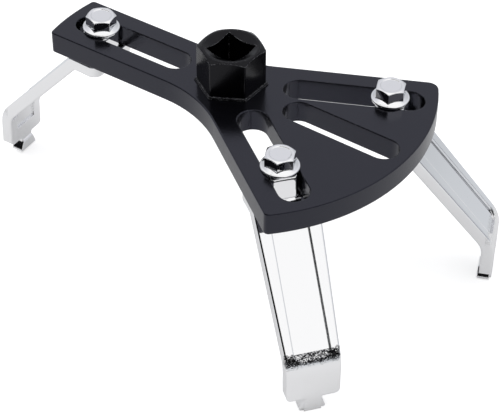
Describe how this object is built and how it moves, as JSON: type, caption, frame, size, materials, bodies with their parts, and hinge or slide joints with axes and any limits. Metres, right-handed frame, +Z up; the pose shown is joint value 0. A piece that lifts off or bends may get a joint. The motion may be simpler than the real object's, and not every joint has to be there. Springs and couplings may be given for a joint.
{
  "type": "oil filter wrench",
  "caption": "Adjustable wrench for filter caps and lock rings: flat slotted plate with a hexagonal square-drive boss, and cranked legs that slide in its slots, each held by a flange bolt.",
  "frame": {"origin": "where the drive axis meets the plate's top face", "axes": "+Z up along the drive axis, away from the jaws; the single arm points along -X and the fan along +X"},
  "size_m": [0.2029, 0.1154, 0.0914],
  "materials": {
    "black_coat": "satin black coating",
    "black_gloss": "gloss black coating",
    "bright_chrome": "polished chrome plate"
  },
  "bodies": {
    "head": {"base_plate": "black_coat", "drive_hex": "black_gloss"},
    "leg_arm": {"leg_arm": "bright_chrome"},
    "bolt_arm": {"bolt_arm": "bright_chrome"},
    "leg_back": {"leg_back": "bright_chrome"},
    "bolt_back": {"bolt_back": "bright_chrome"},
    "leg_front": {"leg_front": "bright_chrome"},
    "bolt_front": {"bolt_front": "bright_chrome"}
  },
  "joints": [
    {"name": "slide_arm", "type": "slide", "parent": "head", "child": "leg_arm", "axis": [-1, 0, 0], "range_m": [-0.0322, 0.0014]},
    {"name": "bolt_turn_arm", "type": "hinge", "parent": "leg_arm", "child": "bolt_arm", "pos_m": [-0.0597, 0, 0.00015], "axis": [0.0366, 0.002, 0.9993], "range_deg": [-288, 360]},
    {"name": "slide_back", "type": "slide", "parent": "head", "child": "leg_back", "axis": [0.9063, 0.4226, 0], "range_m": [-0.0295, 0.0035]},
    {"name": "bolt_turn_back", "type": "hinge", "parent": "leg_back", "child": "bolt_back", "pos_m": [0.05239, 0.02443, 0], "axis": [0, 0, 1], "range_deg": [-288, 360]},
    {"name": "slide_front", "type": "slide", "parent": "head", "child": "leg_front", "axis": [0.807, -0.5906, 0], "range_m": [-0.0244, 0.0098]},
    {"name": "bolt_turn_front", "type": "hinge", "parent": "leg_front", "child": "bolt_front", "pos_m": [0.04156, -0.03042, 0], "axis": [0, 0, 1], "range_deg": [-288, 360]}
  ]
}
